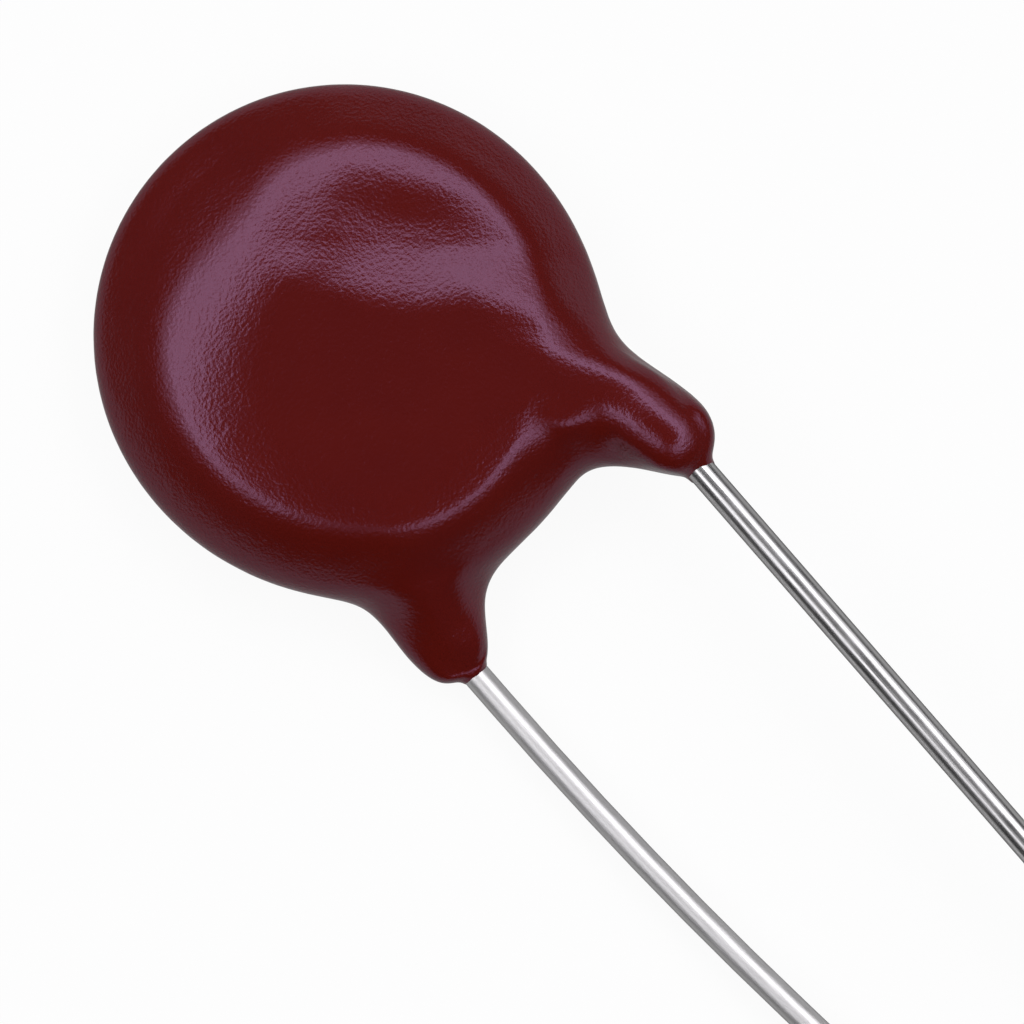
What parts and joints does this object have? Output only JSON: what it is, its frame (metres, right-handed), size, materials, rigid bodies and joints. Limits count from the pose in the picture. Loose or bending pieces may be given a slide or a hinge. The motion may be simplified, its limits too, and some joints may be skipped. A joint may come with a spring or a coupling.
{
  "type": "varistor",
  "caption": "Disc varistor: a zinc oxide disc with a lead soldered to each face, dipped in dark red epoxy that runs out into a leg round each lead. It clamps voltage surges.",
  "frame": {"origin": "on the floor, below the disc's axis across X and at the middle of the overall length along Y, with the part lying on its rear face", "axes": "+Z out of the front face, the leads point to -Y, and the front lead is on the +X side"},
  "size_m": [0.0126, 0.0396, 0.0037],
  "materials": {
    "epoxy": "dark red dipped epoxy, satin gloss with fine orange peel",
    "tinned_copper": "bright tinned wire with fine drawn lines",
    "zinc_oxide": "matte sintered ceramic, dark grey",
    "silver": "matte fired silver",
    "solder": "satin solder"
  },
  "bodies": {
    "root": {"coating": "epoxy", "ceramic_disc": "zinc_oxide", "front_electrode": "silver", "rear_electrode": "silver", "front_solder": "solder", "rear_solder": "solder", "front_lead": "tinned_copper", "rear_lead": "tinned_copper"}
  },
  "joints": []
}
